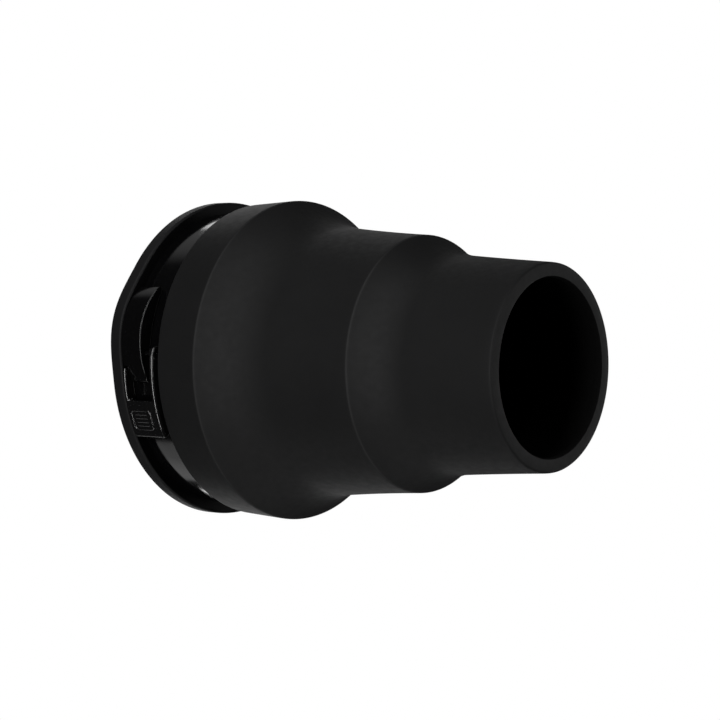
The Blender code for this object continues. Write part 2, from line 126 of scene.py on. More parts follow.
# ---------------------------------------------------------------------------------------
# Mesh helpers
# ---------------------------------------------------------------------------------------
def new_object(name, bm, smooth_angle=SMOOTH_ANGLE):
    """An object in the scene from a bmesh, smooth but for edges over an angle in degrees."""
    bmesh.ops.recalc_face_normals(bm, faces=bm.faces)
    mesh = bpy.data.meshes.new(name)
    bm.to_mesh(mesh)
    bm.free()
    mesh.shade_smooth()
    mesh.set_sharp_from_angle(angle=math.radians(smooth_angle))
    made = bpy.data.objects.new(name, mesh)
    bpy.context.scene.collection.objects.link(made)
    return made


def join_loops(bm, first, second):
    """Faces between two closed loops with as many corners each."""
    for index in range(len(first)):
        bm.faces.new((first[index - 1], first[index], second[index], second[index - 1]))


def loft(bm, loops, closed=False):
    """Join loops of corners one to the next, then close the chain or cap both its ends."""
    if closed:
        for index in range(len(loops)):
            join_loops(bm, loops[index - 1], loops[index])
        return
    for first, second in zip(loops, loops[1:]):
        join_loops(bm, first, second)
    bm.faces.new(loops[0])
    bm.faces.new(loops[-1])


def filleted(corners, steps=4):
    """Points of a closed outline whose corners (a, b, radius) are rounded with arcs."""
    points = []
    for index, (a, b, radius) in enumerate(corners):
        here = Vector((a, b))
        if radius <= 0.0:
            points.append((a, b))
            continue
        before = Vector(corners[index - 1][:2]) - here
        after = Vector(corners[(index + 1) % len(corners)][:2]) - here
        half = 0.5 * before.angle(after)
        longest = LONGEST_FILLET * min(before.length, after.length)
        reach = min(radius / math.tan(half), longest)
        real = reach * math.tan(half)
        middle = here + (before.normalized() + after.normalized()).normalized() * (
            real / math.sin(half))
        start = here + before.normalized() * reach - middle
        turn = start.angle_signed(here + after.normalized() * reach - middle)
        for step in range(steps + 1):
            angle = -turn * step / steps
            cos, sin = math.cos(angle), math.sin(angle)
            offset = Vector((start.x * cos - start.y * sin, start.x * sin + start.y * cos))
            points.append(tuple(middle + offset))
    return points


def lathe(name, outline, bulge=None, smooth_angle=SMOOTH_ANGLE):
    """Turn a closed (x, radius) outline about the beam axis; bulge moves points outward.

    The UV map "stations" keeps each corner's share of a turn and its place along the beam.
    """
    bm = bmesh.new()
    loops = []
    for index in range(ROUND_STEPS):
        angle = index * 360.0 / ROUND_STEPS
        loop = []
        for x, radius in outline:
            grown = radius + (bulge(x, radius, angle) if bulge else 0.0)
            loop.append(bm.verts.new(ring_point(x, grown, angle)))
        loops.append(loop)
    loft(bm, loops, closed=True)
    stations = bm.loops.layers.uv.new("stations")
    for face in bm.faces:
        for corner in face.loops:
            turn = math.atan2(corner.vert.co.z, -corner.vert.co.y) / (2.0 * math.pi) % 1.0
            corner[stations].uv = (turn, corner.vert.co.x)
    return new_object(name, bm, smooth_angle)


# ---------------------------------------------------------------------------------------
# Materials
# ---------------------------------------------------------------------------------------
# Noise lies mostly between these two values
NOISE_LOW = 0.3
NOISE_HIGH = 0.7
# Sockets of the Mix node, by number: their names repeat from one data type to the next
FACTOR = 0
FLOAT_A, FLOAT_B, FLOAT_OUT = 2, 3, 0
COLOUR_A, COLOUR_B, COLOUR_OUT = 6, 7, 2


def node_material(name, colour, roughness, metallic=0.0, specular=0.5):
    """A new material with its node tree and shader, its plain values set on the shader."""
    made = bpy.data.materials.new(name)
    made.use_nodes = True
    shader = made.node_tree.nodes["Principled BSDF"]
    shader.inputs["Base Color"].default_value = (*colour, 1.0)
    shader.inputs["Roughness"].default_value = roughness
    shader.inputs["Metallic"].default_value = metallic
    shader.inputs["Specular IOR Level"].default_value = specular
    return made, made.node_tree, shader


def noise_field(tree, scale, detail, stretch=(1.0, 1.0, 1.0)):
    """Noise in object space, where one unit is a metre, so scale is waves per metre."""
    coordinates = tree.nodes.new("ShaderNodeTexCoord")
    mapping = tree.nodes.new("ShaderNodeMapping")
    mapping.inputs["Scale"].default_value = stretch
    field = tree.nodes.new("ShaderNodeTexNoise")
    field.inputs["Scale"].default_value = scale
    field.inputs["Detail"].default_value = detail
    tree.links.new(coordinates.outputs["Object"], mapping.inputs["Vector"])
    tree.links.new(mapping.outputs["Vector"], field.inputs["Vector"])
    return field.outputs["Fac"]


def ramp(tree, source, first, second, low=NOISE_LOW, high=NOISE_HIGH):
    """Map a field that runs from low to high onto values from first to second."""
    node = tree.nodes.new("ShaderNodeMapRange")
    node.inputs["From Min"].default_value = low
    node.inputs["From Max"].default_value = high
    node.inputs["To Min"].default_value = first
    node.inputs["To Max"].default_value = second
    tree.links.new(source, node.inputs["Value"])
    return node.outputs["Result"]


def tint(tree, source, dark, light):
    """A colour that runs from dark to light with a noise field."""
    node = tree.nodes.new("ShaderNodeMix")
    node.data_type = "RGBA"
    node.inputs[COLOUR_A].default_value = (*dark, 1.0)
    node.inputs[COLOUR_B].default_value = (*light, 1.0)
    tree.links.new(ramp(tree, source, 0.0, 1.0), node.inputs[FACTOR])
    return node.outputs[COLOUR_OUT]


def add_bump(tree, shader, source, strength, distance):
    """Add a bump to the shader's normal, on top of any bump that is there."""
    bump = tree.nodes.new("ShaderNodeBump")
    bump.inputs["Strength"].default_value = strength
    bump.inputs["Distance"].default_value = distance
    previous = shader.inputs["Normal"].links
    if previous:
        tree.links.new(previous[0].from_socket, bump.inputs["Normal"])
    tree.links.new(source, bump.inputs["Height"])
    tree.links.new(bump.outputs["Normal"], shader.inputs["Normal"])


def silicone_material():
    """Matte black silicone: fine grain, faint cloudiness and a painted highlight, a paler line
    along the ridges.
    """
    made, tree, shader = node_material("silicone_black", (0.009, 0.009, 0.0093), 0.58,
                                       specular=0.15)
    broad = noise_field(tree, 38.0, 3.0)
    fine = noise_field(tree, 2600.0, 2.0)
    dust = noise_field(tree, 420.0, 4.0)
    cloudy = tint(tree, broad, (0.0075, 0.0075, 0.0077), (0.0093, 0.0093, 0.0095))
    mix = tree.nodes.new("ShaderNodeMix")
    mix.data_type = "RGBA"
    tree.links.new(ridge_highlight_mask(tree), mix.inputs[FACTOR])
    tree.links.new(cloudy, mix.inputs[COLOUR_A])
    # Paler colour of the painted highlight along the ridges
    mix.inputs[COLOUR_B].default_value = (0.0155, 0.0155, 0.0158, 1.0)
    tree.links.new(mix.outputs[COLOUR_OUT], shader.inputs["Base Color"])
    tree.links.new(ramp(tree, dust, 0.53, 0.63, 0.25, 0.75), shader.inputs["Roughness"])
    add_bump(tree, shader, fine, 0.25, 0.00004)
    add_bump(tree, shader, broad, 0.15, 0.0003)
    return made


def math_node(tree, operation, *sources):
    """A Math node with the sources on its first inputs."""
    node = tree.nodes.new("ShaderNodeMath")
    node.operation = operation
    for socket, source in zip(node.inputs, sources):
        tree.links.new(source, socket)
    return node


def ridge_highlight_mask(tree):
    """Mask of the painted ridge highlight: 1 along the hood's two ridges and 0 elsewhere, from the
    station kept in the UV map.
    """
    uv = tree.nodes.new("ShaderNodeUVMap")
    uv.uv_map = "stations"
    split = tree.nodes.new("ShaderNodeSeparateXYZ")
    tree.links.new(uv.outputs["UV"], split.inputs["Vector"])
    lines = []
    for ridge in (RIDGE_1, RIDGE_2):
        offset = math_node(tree, "SUBTRACT", split.outputs["Y"])
        offset.inputs[1].default_value = ridge
        distance = math_node(tree, "ABSOLUTE", offset.outputs[0])
        lines.append(ramp(tree, distance.outputs[0], 1.0, 0.0, RIDGE_HIGHLIGHT_CORE, RIDGE_HIGHLIGHT_EDGE))
    return math_node(tree, "MAXIMUM", *lines).outputs[0]


def noise_material(name, base, roughness, colours, finish, bump, metallic=0.0, specular=0.5,
                   ior=None):
    """A material whose colour, roughness and bump each follow a noise field.

    base and roughness are its plain values. colours is (noise, dark, light), finish is
    (noise, low, high) and bump is (noise, strength, distance). A noise is (scale, detail)
    or (scale, detail, stretch).
    """
    made, tree, shader = node_material(name, base, roughness, metallic, specular)
    if ior:
        shader.inputs["IOR"].default_value = ior
    tree.links.new(tint(tree, noise_field(tree, *colours[0]), *colours[1:]),
                   shader.inputs["Base Color"])
    tree.links.new(ramp(tree, noise_field(tree, *finish[0]), *finish[1:]),
                   shader.inputs["Roughness"])
    add_bump(tree, shader, noise_field(tree, *bump[0]), *bump[1:])
    return made


def steel_material(name, dark, light, smooth, rough, stretch=(1.0, 1.0, 1.0)):
    """Steel with a grain that a stretch below 1 draws out along that axis."""
    grain = (900.0, 3.0, stretch)
    return noise_material(name, light, smooth, (grain, dark, light), (grain, smooth, rough),
                          (grain, 0.2, 0.00002), metallic=1.0)


SILICONE = silicone_material()
# Inside of the hood: duller than its outside, and darker as painted shade for the hood's unlit
# inside
INSIDE_GRAIN = (900.0, 3.0)
SILICONE_PAINTED_SHADE = noise_material(
    "silicone_inside_painted_shade", (0.002, 0.002, 0.002), 0.92,
    colours=(INSIDE_GRAIN, (0.0016, 0.0016, 0.0016), (0.0026, 0.0026, 0.0026)),
    finish=(INSIDE_GRAIN, 0.86, 0.97), bump=(INSIDE_GRAIN, 0.3, 0.00006), specular=0.04)
# Glossy moulding of the ring and the latch housing
GLOSS_SMEAR = (60.0, 3.0)
GLOSS = noise_material(
    "gloss_black", (0.002, 0.002, 0.0022), 0.10,
    colours=((900.0, 2.0), (0.0012, 0.0012, 0.0014), (0.0022, 0.0022, 0.0024)),
    finish=(GLOSS_SMEAR, 0.07, 0.17), bump=(GLOSS_SMEAR, 0.12, 0.0003))
# Matte flange with a fine grain, and its front face, smoother and darker than its rim
FLANGE_GRAIN = (1800.0, 3.0)
FLANGE = noise_material(
    "flange_black", (0.009, 0.009, 0.0095), 0.55,
    colours=((45.0, 3.0), (0.0066, 0.0066, 0.0070), (0.0098, 0.0098, 0.0102)),
    finish=(FLANGE_GRAIN, 0.50, 0.62), bump=(FLANGE_GRAIN, 0.35, 0.00006), specular=0.14)
FACE_GRAIN = (1200.0, 2.0)
FLANGE_FACE = noise_material(
    "flange_face_black", (0.002, 0.002, 0.0022), 0.30,
    colours=(FACE_GRAIN, (0.0012, 0.0012, 0.0014), (0.0024, 0.0024, 0.0026)),
    finish=((60.0, 3.0), 0.26, 0.38), bump=(FACE_GRAIN, 0.15, 0.00003), specular=0.12)
# Polished lever that shows its edges brightly
LEVER_GRAIN = (1500.0, 2.0)
LEVER = noise_material(
    "lever_black", (0.003, 0.003, 0.0032), 0.16,
    colours=(LEVER_GRAIN, (0.0018, 0.0018, 0.0020), (0.0034, 0.0034, 0.0036)),
    finish=((90.0, 3.0), 0.12, 0.20), bump=(LEVER_GRAIN, 0.15, 0.00003), specular=1.0, ior=1.6)
RUBBER_GRAIN = (1400.0, 3.0)
RUBBER = noise_material(
    "pad_rubber", (0.016, 0.016, 0.016), 0.8,
    colours=(RUBBER_GRAIN, (0.012, 0.012, 0.012), (0.022, 0.022, 0.021)),
    finish=(RUBBER_GRAIN, 0.72, 0.90), bump=(RUBBER_GRAIN, 0.4, 0.00008), specular=0.3)
NYLON_GRAIN = (1100.0, 4.0, (0.3, 1.0, 1.0))
NYLON = noise_material(
    "jaw_nylon", (0.045, 0.045, 0.047), 0.5,
    colours=(NYLON_GRAIN, (0.035, 0.035, 0.037), (0.060, 0.060, 0.062)),
    finish=(NYLON_GRAIN, 0.42, 0.58), bump=(NYLON_GRAIN, 0.25, 0.00004), specular=0.4)
TURNED_GRAIN = (0.1, 1.0, 1.0)
PIN_STEEL = steel_material("pin_steel", (0.030, 0.030, 0.032), (0.060, 0.060, 0.064),
                           0.26, 0.40, TURNED_GRAIN)
CAM_STEEL = steel_material("cam_steel", (0.30, 0.30, 0.31), (0.46, 0.46, 0.47),
                           0.30, 0.44, TURNED_GRAIN)
SPRING_STEEL = steel_material("spring_steel", (0.40, 0.40, 0.41), (0.55, 0.55, 0.56), 0.24, 0.36)
SCREW_STEEL = steel_material("screw_oxide", (0.030, 0.030, 0.033), (0.065, 0.065, 0.070),
                             0.34, 0.50)


def finish_piece(piece, material, slot_name, body, *nodes):
    """Give a rigid piece its material and body, and let it stand for CAD nodes; slot_name is not
    used.
    """
    piece.data.materials.clear()
    piece.data.materials.append(material)
    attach(piece, body)
    if nodes:
        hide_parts(*nodes)


# ---------------------------------------------------------------------------------------
# Silicone hood
# ---------------------------------------------------------------------------------------
# A face looks inward when its normal's share away from the axis is below this
INWARD = -0.3
HOOD_SMOOTH_ANGLE = 50.0


def shoulder_radius(x, ridge, ridge_radius, taper, length):
    """A tube's easing taper, with the shoulder that swells from it back to the ridge."""
    start_radius, slope, easing = taper
    ahead = x - ridge
    left = max(1.0 - ahead / length, 0.0)
    tube = start_radius - slope * ahead + easing * ahead ** 2
    return tube + (ridge_radius - start_radius) * left ** 2


def radius_1(x):
    """Outer radius from the first ridge to the second."""
    return shoulder_radius(x, RIDGE_1, RIDGE_1_RADIUS, TUBE_2_TAPER, SHOULDER_1_LENGTH)


def radius_2(x):
    """Outer radius from the second ridge to the mouth."""
    return shoulder_radius(x, RIDGE_2, RIDGE_2_RADIUS, TUBE_3_TAPER, SHOULDER_2_LENGTH)


def spaced(start, end, step):
    """Evenly spaced stations from start to end, both included."""
    count = max(2, round(abs(end - start) / step))
    return [start + (end - start) * k / count for k in range(count + 1)]


def chained(start, *legs):
    """Stations from start through each (end, step) leg in turn, none of them twice."""
    stations = [start]
    for end, step in legs:
        stations += spaced(start, end, step)[1:]
        start = end
    return stations


def eased(x, start, end):
    """0 before start and 1 past end, with a smooth rise between them."""
    t = min(max((x - start) / (end - start), 0.0), 1.0)
    return t * t * (3.0 - 2.0 * t)


def across_ridge(x, ridge, before, after):
    """The outer radius before or after a ridge, with the ridge's crest rounded."""
    if abs(x - ridge) >= CREST_ROUND:
        return before(x) if x < ridge else after(x)
    t = (x - ridge + CREST_ROUND) / (2.0 * CREST_ROUND)
    low, high = before(ridge - CREST_ROUND), after(ridge + CREST_ROUND)
    crest = 0.5 * (before(ridge) + after(ridge))
    return (1 - t) ** 2 * low + 2 * t * (1 - t) * crest + t ** 2 * high


def skirt_radius(x):
    """Outer radius from the hood's rear edge to the first ridge."""
    along = (x - SKIRT_START) / (RIDGE_1 - SKIRT_START)
    return SKIRT_START_RADIUS + (RIDGE_1_RADIUS - SKIRT_START_RADIUS) * along


def add_silicone(skin):
    """Silicone outside, and on the faces that look inward a duller copy made darker as painted
    shade.
    """
    skin.data.materials.append(SILICONE)
    skin.data.materials.append(SILICONE_PAINTED_SHADE)
    for face in skin.data.polygons:
        outward = Vector((0.0, face.center.y, face.center.z)).normalized()
        # Inward faces take the darker copy: painted shade
        if face.normal.dot(outward) < INWARD:
            face.material_index = 1


def hood_rear():
    """Skirt, first shoulder and middle tube as one closed skin."""
    end = RIDGE_2 + SEAM_PAST_RIDGE
    inner_skirt = RING_RADIUS + 0.5 * TOUCH_GAP
    rib_gap, rib_flank = 0.0002, 0.0001

    def outer(x):
        if x < RIDGE_2 - CREST_ROUND:
            return across_ridge(x, RIDGE_1, skirt_radius, radius_1)
        return across_ridge(x, RIDGE_2, radius_1, radius_2)

    def inner(x):
        if RIB_START - rib_gap < x < RIB_END + rib_gap:
            return inner_skirt + RIB_HEIGHT
        if x <= RIDGE_1:
            thin = outer(x) - FOLD_WALL
            return inner_skirt + (thin - inner_skirt) * eased(x, RIDGE_1 - THINNING, RIDGE_1)
        swell = eased(x, TUBE_2_START, TUBE_2_START + THINNING)
        swell *= 1.0 - eased(x, RIDGE_2 - THINNING, RIDGE_2)
        return outer(x) - FOLD_WALL - (WALL - FOLD_WALL) * swell

    outline = []
    for angle in (0, 30, 60, 90):
        turn = math.radians(angle)
        x = SKIRT_START + SKIRT_EDGE * (1.0 - math.cos(turn))
        outline.append((x, skirt_radius(x) - SKIRT_EDGE * (1.0 - math.sin(turn))))
    ahead = chained(
        SKIRT_START + 2.0 * SKIRT_EDGE, (RIDGE_1 - CREST_ROUND, TUBE_STEP),
        (RIDGE_1 + CREST_ROUND, CREST_STEP), (TUBE_2_START + THINNING, FOLD_STEP),
        (RIDGE_2 - CREST_ROUND, TUBE_STEP), (RIDGE_2 + CREST_ROUND, CREST_STEP),
        (end, SEAM_STEP))
    outline += [(x, outer(x)) for x in ahead]
    back = chained(
        end, (RIDGE_2 - THINNING, FOLD_STEP), (TUBE_2_START + THINNING, INNER_STEP),
        (RIDGE_1 - THINNING, FOLD_STEP))
    back += [RIB_END + rib_gap + rib_flank, RIB_END + rib_gap - rib_flank,
             RIB_START - rib_gap + rib_flank, RIB_START - rib_gap - rib_flank]
    outline += [(x, inner(x)) for x in back]
    outline += [(SKIRT_START + 2.0 * SKIRT_EDGE, inner_skirt),
                (SKIRT_START, inner_skirt + SKIRT_EDGE)]
    skin = lathe("hood_rear", outline, smooth_angle=HOOD_SMOOTH_ANGLE)
    add_silicone(skin)
    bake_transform(skin)
    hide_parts("base_sleeve", "rear_shoulder", "middle_stage")


def hood_front():
    """Second shoulder, front tube and mouth as one closed skin."""
    start = RIDGE_2 + SEAM_PAST_RIDGE
    rim = radius_2(MOUTH_END)
    mouth = rim - MOUTH_RIM
    lip = MOUTH_END - MOUTH_LIP_SHOWN
    behind_lip = lip - MOUTH_LIP_STEP
    tube = TUBE_3_START + THINNING
    rim_start = MOUTH_END - 0.0015

    def inner(x):
        thick = FOLD_WALL + (WALL - FOLD_WALL) * eased(x, TUBE_3_START, tube)
        bare = radius_2(x) - thick
        return bare + (mouth - bare) * eased(x, behind_lip, lip)

    ahead = chained(start, (start + 4.0 * SEAM_STEP, SEAM_STEP), (tube, FOLD_STEP),
                    (rim_start, TUBE_STEP))
    outline = [(x, radius_2(x)) for x in ahead]
    turns = [math.radians(angle) for angle in (0, 22.5, 45, 67.5, 90)]
    outline += [(MOUTH_END - MOUTH_OUTER_ROUND * (1.0 - math.sin(turn)),
                 rim - MOUTH_OUTER_ROUND * (1.0 - math.cos(turn))) for turn in turns]
    outline += [(MOUTH_END - MOUTH_INNER_ROUND * (1.0 - math.cos(turn)),
                 mouth + MOUTH_INNER_ROUND * (1.0 - math.sin(turn))) for turn in turns]
    back = chained(lip, (behind_lip, CREST_STEP), (tube, INNER_STEP), (start, FOLD_STEP))
    outline += [(x, inner(x)) for x in back]
    skin = lathe("hood_front", outline, smooth_angle=HOOD_SMOOTH_ANGLE)
    add_silicone(skin)
    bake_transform(skin)
    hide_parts("front_shoulder", "mouth_stage")


# ---------------------------------------------------------------------------------------
# Moulded pieces: shared shapes
# ---------------------------------------------------------------------------------------
def side_point(x, out, up):
    """A point on the latch's side, at a distance out from the beam axis and a height."""
    return (x, -out, up)


def arc(out, up, radius, start, end, steps):
    """(out, up) points along an arc, from one angle to another in degrees."""
    points = []
    for index in range(steps + 1):
        turn = math.radians(start + (end - start) * index / steps)
        points.append((out + radius * math.cos(turn), up + radius * math.sin(turn)))
    return points


def hole(out, up, radius):
    """(out, up) points once round a circle."""
    return arc(out, up, radius, 0.0, 360.0 - 360.0 / HOLE_STEPS, HOLE_STEPS - 1)


def add_prism(bm, outline, start, end):
    """Add an (out, up) outline drawn along the beam from one station to another."""
    loft(bm, [[bm.verts.new(side_point(x, out, up)) for out, up in outline]
              for x in (start, end)])


def add_box(bm, outs, ups, stations):
    """Add a plain box between two distances out, two heights and two stations."""
    (inner, outer), (low, top) = outs, ups
    add_prism(bm, ((inner, low), (outer, low), (outer, top), (inner, top)), *stations)


def rod_loop(bm, x, radii, out, up):
    """Corners round a line parallel to X, one for each of the radii."""
    loop = []
    for index, radius in enumerate(radii):
        turn = 2.0 * math.pi * index / len(radii)
        loop.append(bm.verts.new(side_point(x, out + radius * math.cos(turn),
                                            up + radius * math.sin(turn))))
    return loop


def add_rod(bm, outline, out, up, steps=32):
    """Add (x, radius) steps turned about a line parallel to X."""
    loft(bm, [rod_loop(bm, x, [radius] * steps, out, up) for x, radius in outline])


def add_sector(bm, outline, start, end, steps=16):
    """Add a closed (x, radius) outline turned through part of a turn."""
    loops = []
    for index in range(steps + 1):
        angle = start + (end - start) * index / steps
        loops.append([bm.verts.new(ring_point(x, radius, angle)) for x, radius in outline])
    loft(bm, loops)


def baked(made):
    """Put an object's modifiers into its mesh, with its shading set again."""
    depsgraph = bpy.context.evaluated_depsgraph_get()
    mesh = bpy.data.meshes.new_from_object(made.evaluated_get(depsgraph))
    made.modifiers.clear()
    made.data = mesh
    mesh.shade_smooth()
    mesh.set_sharp_from_angle(angle=math.radians(CUT_SMOOTH_ANGLE))
    return made


def add_bevel(made, width, steps, least_angle):
    """Round the edges that are sharper than an angle in degrees."""
    bevel = made.modifiers.new("bevel", "BEVEL")
    bevel.width = width
    bevel.segments = steps
    bevel.limit_method = "ANGLE"
    bevel.angle_limit = math.radians(least_angle)


def cut_away(made, bm):
    """Cut every closed body in a bmesh from an object."""
    tool = new_object("tool", bm)
    cut = made.modifiers.new("cut", "BOOLEAN")
    cut.operation = "DIFFERENCE"
    cut.object = tool
    cut.solver = "EXACT"
    baked(made)
    bpy.data.objects.remove(tool, do_unlink=True)


def even_shading(made):
    """Weight normals by face size, so broad faces stay flat beside their rounded edges."""
    weighted = made.modifiers.new("normals", "WEIGHTED_NORMAL")
    weighted.keep_sharp = True


# ---------------------------------------------------------------------------------------
# Flange, ring, screws and pads
# ---------------------------------------------------------------------------------------
FLANGE_RADIUS = 0.0587
FLANGE_THICKNESS = FLANGE_HIGH.x
FLANGE_FRONT_ROUND = 0.0010
# The front face ends this far down its rounded edge, where its normal turns outward
FLANGE_FACE_DEPTH = 0.0006
FLANGE_FACE_TURN = 0.9
# The swelling behind the latch: its height, its angle and half its width, both in degrees
FLANGE_EAR = 0.0019
FLANGE_EAR_ANGLE = 11.0
FLANGE_EAR_SPREAD = 22.0
RING_END = RING_HIGH.x
RING_LIP = 0.0010
RING_SEAT = FLANGE_THICKNESS + 0.00005
RIB_START = 0.0246
RIB_END = 0.0264
RIB_HEIGHT = 0.0012
# The pocket for jaw, cam and spring runs through the ring's wall into the housing
POCKET_START = 0.00835
POCKET_END = 0.01265
POCKET_LOW = -0.0070
POCKET_TOP = 0.0166
WINDOW_TOP = 0.0100
# Cutting bodies start inside the bore and end outside the ring or the housing
CUT_INSIDE = 0.045
RECESS_CUT_INSIDE = 0.047
WINDOW_CUT_OUTSIDE = 0.056
HOUSING_CUT_OUTSIDE = 0.065
SPRING_UP = 0.0145
SPRING_SEAT_RADIUS = 0.0017
SPRING_SEAT_OUT = 0.0492
SCREW_CIRCLE = 0.0524
SCREW_HEAD_RADIUS = 0.0017
SCREW_HEAD_LENGTH = 0.0016
SCREW_SHANK_RADIUS = 0.0008
SCREW_SUNK = 0.0003
SCREW_DRIVE_FLAT = 0.00078
SCREW_STEPS = 48
# Room round a screw's head in its countersink: at the mouth, and below it
SINK_MOUTH_GAP = 0.00045
SINK_GAP = 0.00015
SINK_DEPTH = 0.0022
FLANGE_SCREW_ANGLES = (30.0, 90.0, 150.0, 210.0, 270.0, 330.0)
HOUSING_SCREW_PLACES = ((0.0565, 20.5), (0.0560, -2.5))
PAD_ANGLES = (120.0, 180.0, 240.0)
PAD_HALF_ANGLE = 11.25
PAD_START = 0.0090
PAD_END = 0.0170
PAD_FACE_RADIUS = 0.0495
PAD_BACK_RADIUS = 0.0510
PAD_SIDE_GAP = 0.35
PAD_RIBS = 5
PAD_RIB_DEPTH = 0.00022
PAD_RIB_MARGIN = 0.0004
PAD_SIDE_HEIGHT = 0.0005


def ear_bulge(_, radius, angle):
    """How far the flange swells behind the latch housing, fading out inward of its rim."""
    away = (angle - FLANGE_EAR_ANGLE + 180.0) % 360.0 - 180.0
    if abs(away) >= FLANGE_EAR_SPREAD:
        return 0.0
    swell = FLANGE_EAR * math.cos(0.5 * math.pi * away / FLANGE_EAR_SPREAD) ** 2
    return swell * eased(radius, FLANGE_RADIUS - 0.0030, FLANGE_RADIUS - FLANGE_FRONT_ROUND)


def screw_places():
    """Name, distance out and height of every screw."""
    flange_places = [(SCREW_CIRCLE, angle) for angle in FLANGE_SCREW_ANGLES]
    for kind, places in (("flange", flange_places), ("housing", HOUSING_SCREW_PLACES)):
        for index, (distance, angle) in enumerate(places, 1):
            _, y, z = ring_point(0.0, distance, angle)
            yield f"{kind}_screw_{index}", -y, z


def flange_piece():
    """The matte flange behind the ring, with its swelling and its sunk screw seats."""
    outline = filleted((
        (0.0, BORE_RADIUS, 0.0004), (0.0, FLANGE_RADIUS, 0.0005),
        (FLANGE_THICKNESS, FLANGE_RADIUS, FLANGE_FRONT_ROUND),
        (FLANGE_THICKNESS, BORE_RADIUS, 0.0002)))
    flange = lathe("flange_body", outline, bulge=ear_bulge)
    tools = bmesh.new()
    mouth, wall = SCREW_HEAD_RADIUS + SINK_MOUTH_GAP, SCREW_HEAD_RADIUS + SINK_GAP
    sink = ((-0.001, mouth), (0.0, mouth), (SCREW_SUNK, wall), (SINK_DEPTH, wall))
    for _, out, up in screw_places():
        add_rod(tools, sink, out, up)
    cut_away(flange, tools)
    even_shading(flange)
    finish_piece(flange, FLANGE, "flange_plastic", "mount", "rear_flange")
    flange.data.materials.append(FLANGE_FACE)
    for face in flange.data.polygons:
        depth = FLANGE_THICKNESS - face.center.x
        if face.normal.x > FLANGE_FACE_TURN and depth < FLANGE_FACE_DEPTH:
            face.material_index = 1


def ring_piece():
    """The glossy ring: its rib under the skirt, and its seats for the jaw, spring and pads."""
    rib = RING_RADIUS + RIB_HEIGHT
    outline = filleted((
        (RING_SEAT, BORE_RADIUS, 0.0003), (RING_SEAT, RING_RADIUS, 0.0),
        (RIB_START, RING_RADIUS, 0.0002), (RIB_START, rib, 0.0003), (RIB_END, rib, 0.0003),
        (RIB_END, RING_RADIUS, 0.0002), (RING_END, RING_RADIUS, 0.0004),
        (RING_END, BORE_RADIUS + RING_LIP, 0.0003),
        (RING_END - RING_LIP, BORE_RADIUS, 0.0003)), steps=8)
    ring = lathe("ring_body", outline)
    tools = bmesh.new()
    add_box(tools, (CUT_INSIDE, WINDOW_CUT_OUTSIDE),
            (JAW_LOW.z - TOUCH_GAP, WINDOW_TOP + TOUCH_GAP), (POCKET_START, POCKET_END))
    seat = hole(0.5 * (POCKET_START + POCKET_END), SPRING_UP, SPRING_SEAT_RADIUS)
    loft(tools, [[tools.verts.new(side_point(across, out, up)) for across, up in seat]
                 for out in (SPRING_SEAT_OUT, RING_RADIUS + 0.001)])
    start, end = PAD_START - TOUCH_GAP, PAD_END + TOUCH_GAP
    back = PAD_BACK_RADIUS + TOUCH_GAP
    recess = ((start, RECESS_CUT_INSIDE), (start, back), (end, back), (end, RECESS_CUT_INSIDE))
    half = PAD_HALF_ANGLE + PAD_SIDE_GAP
    for angle in PAD_ANGLES:
        add_sector(tools, recess, angle - half, angle + half)
    cut_away(ring, tools)
    tools = bmesh.new()
    add_prism(tools, hole(PIN_DISTANCE, 0.0, LEVER_EYE_RADIUS + TOUCH_GAP),
              LEVER_EYE_START - TOUCH_GAP, LEVER_HIGH.x + TOUCH_GAP)
    cut_away(ring, tools)
    even_shading(ring)
    finish_piece(ring, GLOSS, "gloss_plastic", "mount", "mount_ring")


def screw_piece(name, out, up, end):
    """A flat-headed screw with a six-sided drive recess in its head."""
    face = SCREW_SUNK
    head_end = face + SCREW_HEAD_LENGTH
    # Station, size as a share of the drive or as a radius, and whether it is six-sided
    outline = ((face + 0.0009, 0.5, True), (face + 0.0009, 1.0, True),
               (face + 0.00012, 1.0, True), (face, 1.12, True),
               (face, SCREW_HEAD_RADIUS - 0.0003, False),
               (face + 0.0001, SCREW_HEAD_RADIUS - 0.0001, False),
               (face + 0.0003, SCREW_HEAD_RADIUS, False), (head_end, SCREW_HEAD_RADIUS, False),
               (head_end, SCREW_SHANK_RADIUS, False), (end, SCREW_SHANK_RADIUS, False))
    hexagon = []
    for index in range(SCREW_STEPS):
        from_flat = (index * 360.0 / SCREW_STEPS + 30.0) % 60.0 - 30.0
        hexagon.append(SCREW_DRIVE_FLAT / math.cos(math.radians(from_flat)))
    bm = bmesh.new()
    loft(bm, [rod_loop(bm, x, [size * flat for flat in hexagon] if six_sided
                       else [size] * SCREW_STEPS, out, up) for x, size, six_sided in outline])
    made = new_object(name + "_detail", bm, 30.0)
    finish_piece(made, SCREW_STEEL, "screw_steel", "mount", name)


def pad_piece(index, angle):
    """A rubber pad with a ribbed face, sitting in the ring's recess."""
    points = 8 * PAD_RIBS
    side = PAD_FACE_RADIUS + PAD_SIDE_HEIGHT
    outline = [(PAD_START, side), (PAD_START, PAD_BACK_RADIUS), (PAD_END, PAD_BACK_RADIUS),
               (PAD_END, side)]
    for point in range(points + 1):
        along = point / points
        lift = 0.5 - 0.5 * math.cos(2.0 * math.pi * PAD_RIBS * along)
        outline.append((
            PAD_END - PAD_RIB_MARGIN - (PAD_END - PAD_START - 2.0 * PAD_RIB_MARGIN) * along,
            PAD_FACE_RADIUS + PAD_RIB_DEPTH * (1.0 - lift)))
    bm = bmesh.new()
    add_sector(bm, outline, angle - PAD_HALF_ANGLE, angle + PAD_HALF_ANGLE, 20)
    made = new_object(f"pad_{index}", bm, 45.0)
    finish_piece(made, RUBBER, "grip_rubber", "mount", f"grip_pad_{index}")


